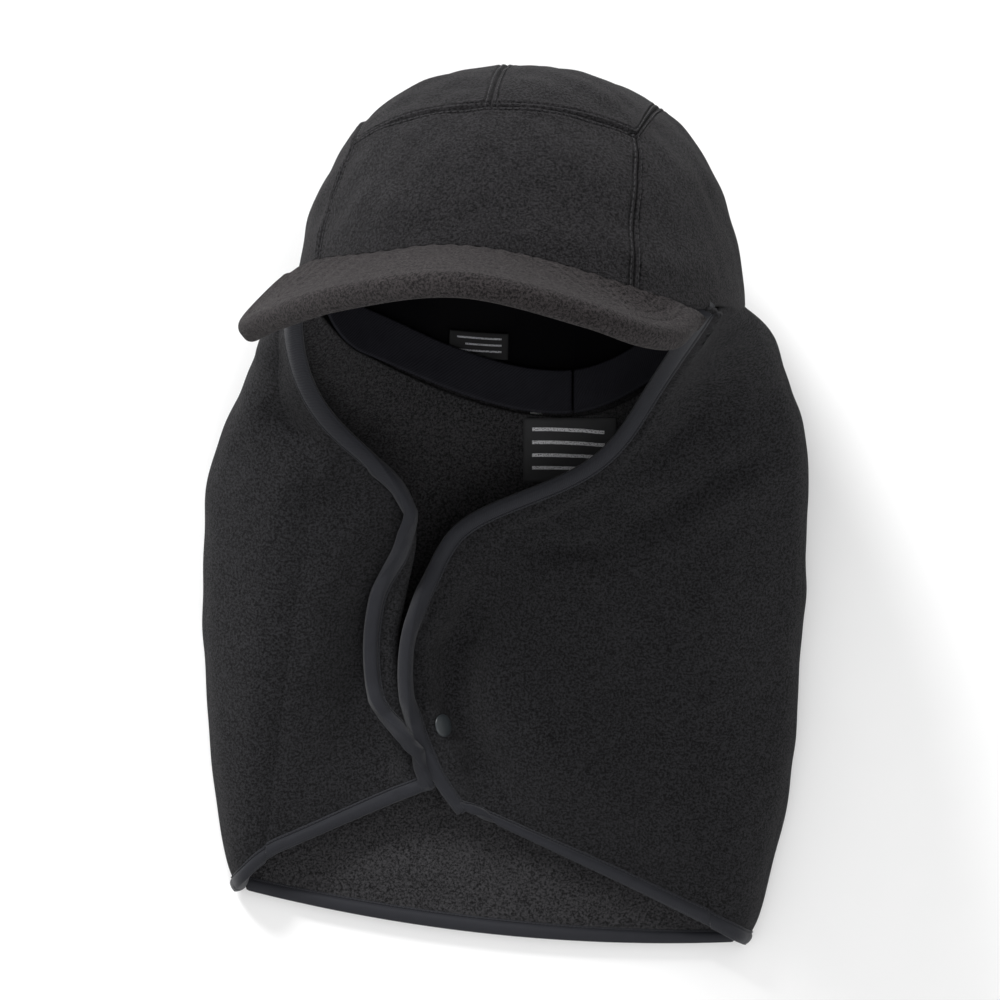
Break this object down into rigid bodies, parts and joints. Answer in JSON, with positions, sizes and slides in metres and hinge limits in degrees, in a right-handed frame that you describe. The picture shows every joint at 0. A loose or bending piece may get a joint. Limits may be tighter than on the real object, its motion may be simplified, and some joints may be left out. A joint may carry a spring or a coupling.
{
  "type": "balaclava",
  "caption": "Fleece head cover: a five-panel cap with a curved stiff visor and an attached neck cape that opens down the front with a snap.",
  "frame": {"origin": "middle of the bounding box in plan, on the surface the hood lies on, back of the head down", "axes": "+Y from the hem to the top of the crown, +Z from the back of the head towards the visor, +X to the right when looking at the front with the crown up"},
  "size_m": [0.2784, 0.3948, 0.2464],
  "materials": {
    "crown_fleece": "brushed fleece, warm charcoal",
    "cape_fleece": "brushed fleece, near-black charcoal",
    "binding_knit": "smooth stretch knit, blue-black",
    "lining_cloth": "smooth woven lining, black",
    "band_knit": "fine ribbed knit, black",
    "board_plastic": "polyethylene sheet",
    "snap_lacquer": "dark grey lacquer",
    "snap_steel": "plated steel",
    "label_tape": "woven label tape, black"
  },
  "bodies": {
    "hood": {"front_panel": "crown_fleece", "side_panel_left": "crown_fleece", "side_panel_right": "crown_fleece", "top_panel_left": "crown_fleece", "top_panel_right": "crown_fleece", "front_interlining": "lining_cloth", "lining_front": "lining_cloth", "lining_left": "lining_cloth", "lining_right": "lining_cloth", "sweatband": "band_knit", "size_label": "label_tape", "visor_top_cover": "crown_fleece", "visor_under_cover": "crown_fleece", "visor_board": "board_plastic", "side_left": "cape_fleece", "side_right": "cape_fleece", "face_binding_left": "binding_knit", "face_binding_right": "binding_knit", "side_hem_binding_left": "binding_knit", "side_hem_binding_right": "binding_knit", "cape_back": "cape_fleece", "back_hem_binding": "binding_knit", "neck_label": "label_tape"},
    "left_flap": {"flap_left": "cape_fleece", "front_binding_left": "binding_knit", "flap_hem_binding_left": "binding_knit", "snap_stud": "snap_steel", "snap_back": "snap_steel"},
    "right_flap": {"flap_right": "cape_fleece", "front_binding_right": "binding_knit", "flap_hem_binding_right": "binding_knit", "snap_cap": "snap_lacquer", "snap_socket": "snap_steel"}
  },
  "joints": [
    {"name": "left_flap_fold", "type": "hinge", "parent": "hood", "child": "left_flap", "pos_m": [-0.08531, 0.05415, 0.0653], "axis": [-0.1226, -0.9673, -0.2222], "range_deg": [0, 105]},
    {"name": "right_flap_fold", "type": "hinge", "parent": "hood", "child": "right_flap", "pos_m": [0.06219, 0.05365, 0.0673], "axis": [-0.1337, 0.9701, 0.2025], "range_deg": [0, 105]}
  ]
}
